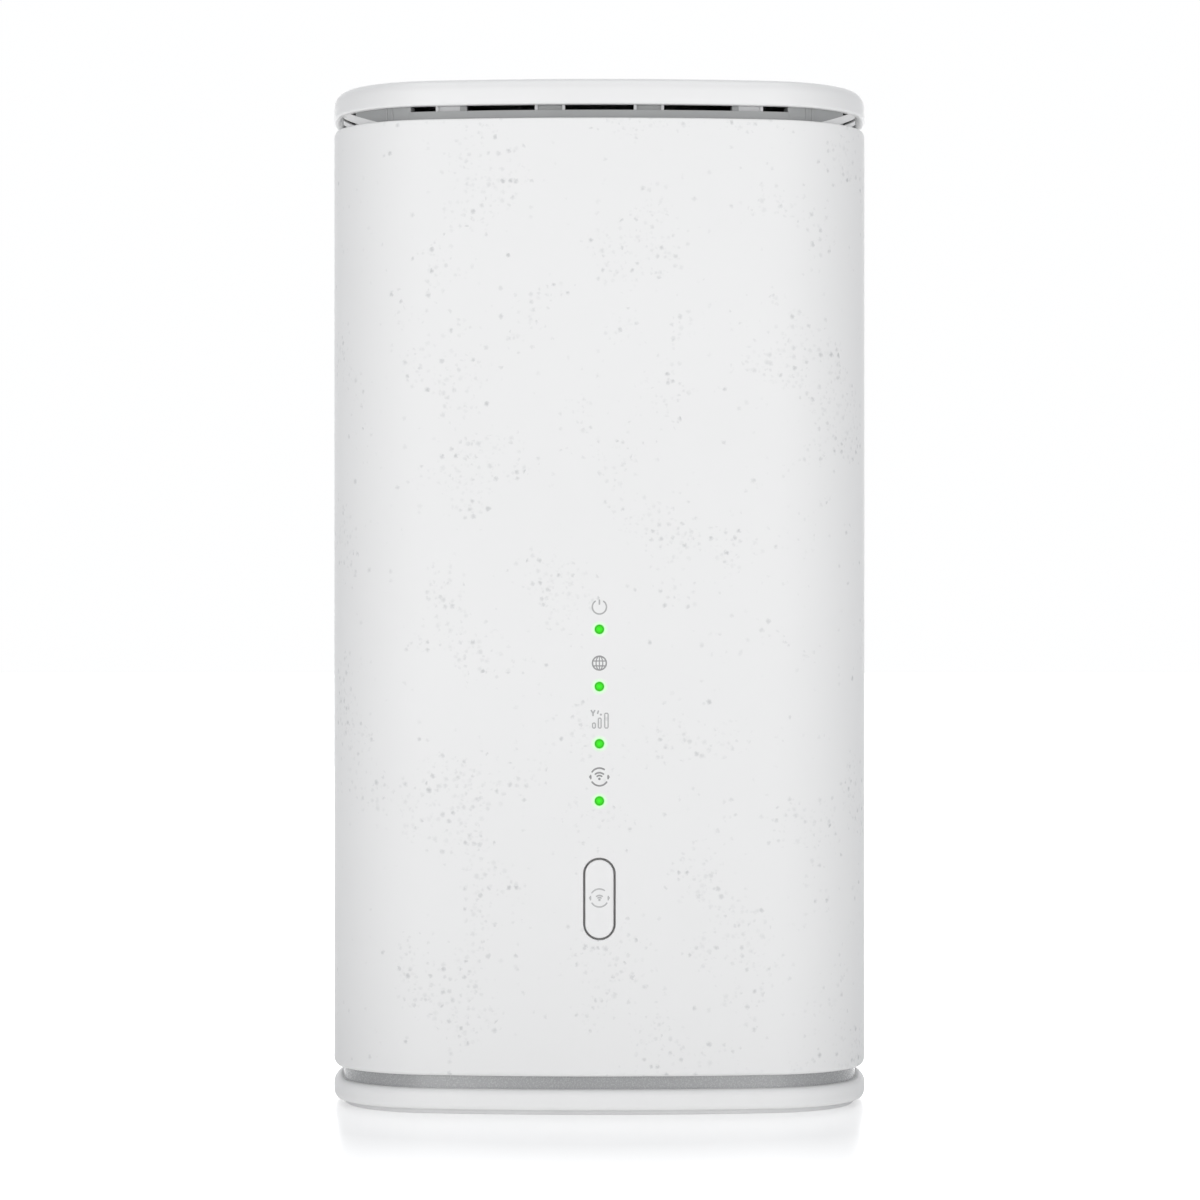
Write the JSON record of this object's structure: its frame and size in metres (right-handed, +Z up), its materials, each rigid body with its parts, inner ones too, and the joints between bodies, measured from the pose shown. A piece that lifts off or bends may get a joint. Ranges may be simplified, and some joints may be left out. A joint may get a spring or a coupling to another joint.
{
  "type": "mesh wifi node",
  "caption": "Upright rounded white tower node with a vented gap under the lid, lit status dots and a pill button in front, and a sunken port bay behind.",
  "frame": {"origin": "centre of the footprint on the surface it stands on", "axes": "+Z up the tower, -Y out of the front with the lights and the button, +X to the right as seen from the front"},
  "size_m": [0.13, 0.088, 0.2442],
  "materials": {
    "sleeve_white": "satin moulded white with fine grey flecks",
    "lid_white": "satin moulded white",
    "base_white": "satin moulded white",
    "button_white": "satin moulded white",
    "vent_grey": "satin moulded grey",
    "neck_grey": "satin moulded grey",
    "foot_rubber": "matt moulded silicone",
    "zinc_steel": "zinc plated",
    "label_film": "blank printed film",
    "black_plastic": "matt black",
    "panel_plastic": "satin moulded light grey",
    "frame_plastic": "matt dark grey",
    "board_green": "solder mask",
    "lamp_green": "lit green lamp",
    "switch_plastic": "matt",
    "tin_plate": "bright tin plate",
    "chip_resin": "matt epoxy resin",
    "thermal_putty": "soft matt",
    "sink_aluminium": "extruded, bare",
    "jack_plastic": "satin black",
    "button_grey": "satin grey",
    "card_plastic": "card body with gold contacts",
    "antenna_copper": "stamped, tin flashed copper alloy",
    "coax_jacket": "smooth fluoropolymer jacket",
    "ribbon_film": "white flat cable",
    "pipe_clear": "clear polycarbonate"
  },
  "bodies": {
    "housing": {"antenna_leads": "coax_jacket", "base_neck": "neck_grey", "base_plate": "base_white", "base_screws": "zinc_steel", "base_weight": "zinc_steel", "board_chips": "chip_resin", "board_screws": "zinc_steel", "button_guide": "black_plastic", "button_switch": "tin_plate", "cell_antenna_1": "antenna_copper", "cell_antenna_2": "antenna_copper", "cell_antenna_3": "antenna_copper", "cell_antenna_4": "antenna_copper", "dc_jack": "jack_plastic", "front_carrier": "black_plastic", "heat_sink": "sink_aluminium", "heat_sink_screws": "zinc_steel", "lan_jack_1": "jack_plastic", "lan_jack_2": "jack_plastic", "left_frame": "frame_plastic", "lid_baffle": "black_plastic", "lid_posts": "sleeve_white", "lid_screws": "zinc_steel", "light_board": "board_green", "light_pipe_1": "pipe_clear", "light_pipe_2": "pipe_clear", "light_pipe_3": "pipe_clear", "light_pipe_4": "pipe_clear", "light_shroud": "black_plastic", "main_board": "board_green", "modem_fixing": "zinc_steel", "modem_module": "board_green", "modem_shield": "tin_plate", "modem_socket": "black_plastic", "outer_sleeve": "sleeve_white", "panel_screws": "zinc_steel", "power_switch": "switch_plastic", "product_label": "label_film", "rear_panel": "panel_plastic", "reset_switch": "switch_plastic", "ribbon_cable": "ribbon_film", "ribbon_sockets": "switch_plastic", "right_frame": "frame_plastic", "rubber_foot": "foot_rubber", "shield_cans": "tin_plate", "sim_socket": "tin_plate", "status_lights": "lamp_green", "thermal_pads": "thermal_putty", "top_bridge": "frame_plastic", "top_lid": "lid_white", "usb_port": "tin_plate", "vent_ring": "vent_grey", "wifi_antenna_1": "antenna_copper", "wifi_antenna_2": "antenna_copper"},
    "button": {"front_button": "button_white", "switch_plunger": "switch_plastic"},
    "power_key": {"power_button": "button_grey"},
    "reset_key": {"reset_button": "switch_plastic"},
    "tray": {"sim_tray": "panel_plastic", "sim_card": "card_plastic"}
  },
  "joints": [
    {"name": "front_button_press", "type": "slide", "parent": "housing", "child": "button", "axis": [0, 1, 0], "range_m": [0, 0.0006], "stiffness_N_per_m": 800},
    {"name": "power_button_press", "type": "slide", "parent": "housing", "child": "power_key", "axis": [0, -1, 0], "range_m": [0, 0.0015], "stiffness_N_per_m": 600},
    {"name": "reset_button_press", "type": "slide", "parent": "housing", "child": "reset_key", "axis": [0, -1, 0], "range_m": [0, 0.0005], "stiffness_N_per_m": 800},
    {"name": "sim_tray_slide", "type": "slide", "parent": "housing", "child": "tray", "axis": [0, 1, 0], "range_m": [0, 0.017]}
  ]
}
